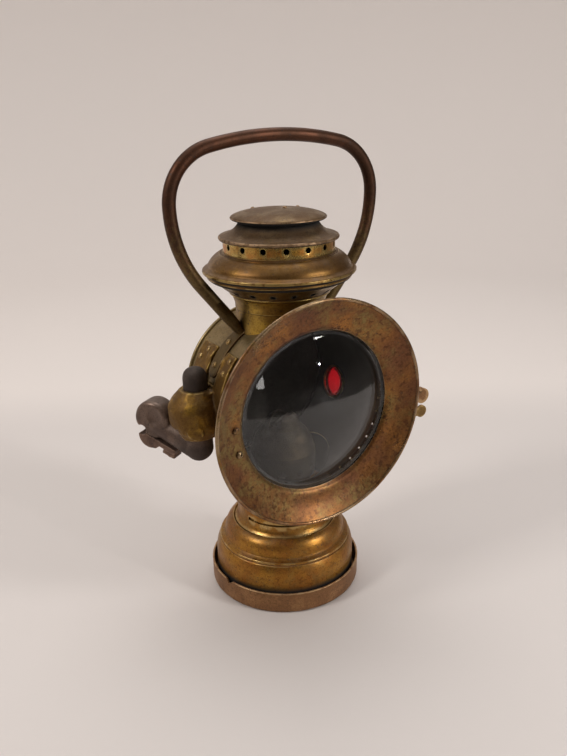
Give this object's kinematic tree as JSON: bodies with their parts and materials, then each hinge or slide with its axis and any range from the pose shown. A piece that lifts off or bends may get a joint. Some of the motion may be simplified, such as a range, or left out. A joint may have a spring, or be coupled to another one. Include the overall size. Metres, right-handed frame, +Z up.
{
  "type": "kerosene buggy lamp",
  "caption": "Kerosene buggy lamp: drum with a flared bull's-eye door, twist-out oil font with wick, capped ventilator, loop handle and an iron dash clamp.",
  "frame": {"origin": "middle of the base cup's underside", "axes": "+Z up, the lens faces -Y, the clamp is on -X"},
  "size_m": [0.1579, 0.0935, 0.2697],
  "materials": {
    "brown_copper": "brown patina over copper-coloured brass, worn",
    "font_brass": "old lacquered brass, worn bright on the edges",
    "old_brass": "dull brass",
    "drum_brass": "dull tarnished brass",
    "dark_brass": "dark tarnished brass",
    "cast_brass": "cast brass, worn",
    "handle_metal": "brown patina, smooth",
    "silvered": "tarnished silvered reflector",
    "steel": "dull",
    "iron": "dark, smooth forging",
    "rusty_iron": "dark with brown rust",
    "clear_glass": "clear, polished",
    "red_glass": "ruby glass",
    "wick_cotton": "woven cotton"
  },
  "bodies": {
    "lamp": {"lamp_collar": "font_brass", "drum_shell": "drum_brass", "drum_back": "drum_brass", "reflector": "silvered", "jewel_bezel": "old_brass", "side_jewel": "red_glass", "chimney_neck": "font_brass", "draught_funnel": "dark_brass", "vent_bowl": "font_brass", "vent_shoulder": "font_brass", "inner_flue": "dark_brass", "gallery": "font_brass", "lower_cap": "brown_copper", "top_cap": "brown_copper", "cap_studs": "brown_copper", "handle": "handle_metal", "handle_rivets": "old_brass", "lamp_socket": "cast_brass", "socket_rivets": "old_brass", "hinge_leaf_body": "old_brass", "hinge_pin": "steel", "catch_lug": "old_brass"},
    "door": {"door_flare": "brown_copper", "lens": "clear_glass", "lens_ring": "dark_brass", "hinge_leaf_door": "brown_copper", "door_rivets": "brown_copper", "latch_plate": "old_brass", "latch_pin": "old_brass"},
    "latch": {"latch_lever": "brown_copper"},
    "font": {"base_cup": "brown_copper", "font_tank": "font_brass", "font_neck": "old_brass", "burner_collar": "old_brass", "burner_base": "old_brass", "air_deck": "old_brass", "wick_tube": "old_brass", "burner_cone": "old_brass"},
    "wick_knob": {"wick_spindle": "steel", "spur_wheels": "steel", "thumbwheel": "old_brass"},
    "wick": {"wick": "wick_cotton"},
    "clamp": {"clamp_arm": "iron", "clamp_bolt": "iron"},
    "jaw": {"clamp_jaw": "rusty_iron"},
    "nut": {"clamp_nut": "rusty_iron"}
  },
  "joints": [
    {"name": "door_open", "type": "hinge", "parent": "lamp", "child": "door", "pos_m": [-0.0506, -0.0355, 0.1183], "axis": [0, 0, -1], "range_deg": [0, 95]},
    {"name": "latch_press", "type": "hinge", "parent": "door", "child": "latch", "pos_m": [0.06, -0.0396, 0.1172], "axis": [0, 1, 0], "range_deg": [0, 15], "stiffness_Nm_per_rad": 0.02, "springref_deg": -5.73},
    {"name": "font_twist", "type": "hinge", "parent": "lamp", "child": "font", "pos_m": [0, 0, 0.0482], "axis": [0, 0, 1], "range_deg": [0, 58]},
    {"name": "wick_turn", "type": "hinge", "parent": "font", "child": "wick_knob", "pos_m": [-0.00235, 0.00407, 0.0482], "axis": [-0.866, -0.5, 0], "range_deg": [-45, 95]},
    {"name": "wick_slide", "type": "slide", "parent": "font", "child": "wick", "axis": [0, 0, 1], "range_m": [-0.0028, 0.0059]},
    {"name": "clamp_swivel", "type": "hinge", "parent": "lamp", "child": "clamp", "pos_m": [-0.053, 0.003, 0.12], "axis": [0, 0, 1], "range_deg": [-25, 25]},
    {"name": "jaw_open", "type": "slide", "parent": "clamp", "child": "jaw", "axis": [-0.2102, 0.3002, -0.9304], "range_m": [0, 0.00208]},
    {"name": "nut_turn", "type": "hinge", "parent": "jaw", "child": "nut", "pos_m": [-0.06095, 0.01436, 0.10456], "axis": [-0.2102, 0.3002, -0.9304], "range_deg": [0, 600]}
  ],
  "couplings": [
    {"joint": "wick_turn", "follows": "wick_slide", "rad_per_m": 277.78},
    {"joint": "nut_turn", "follows": "jaw_open", "rad_per_m": 5026.5}
  ]
}
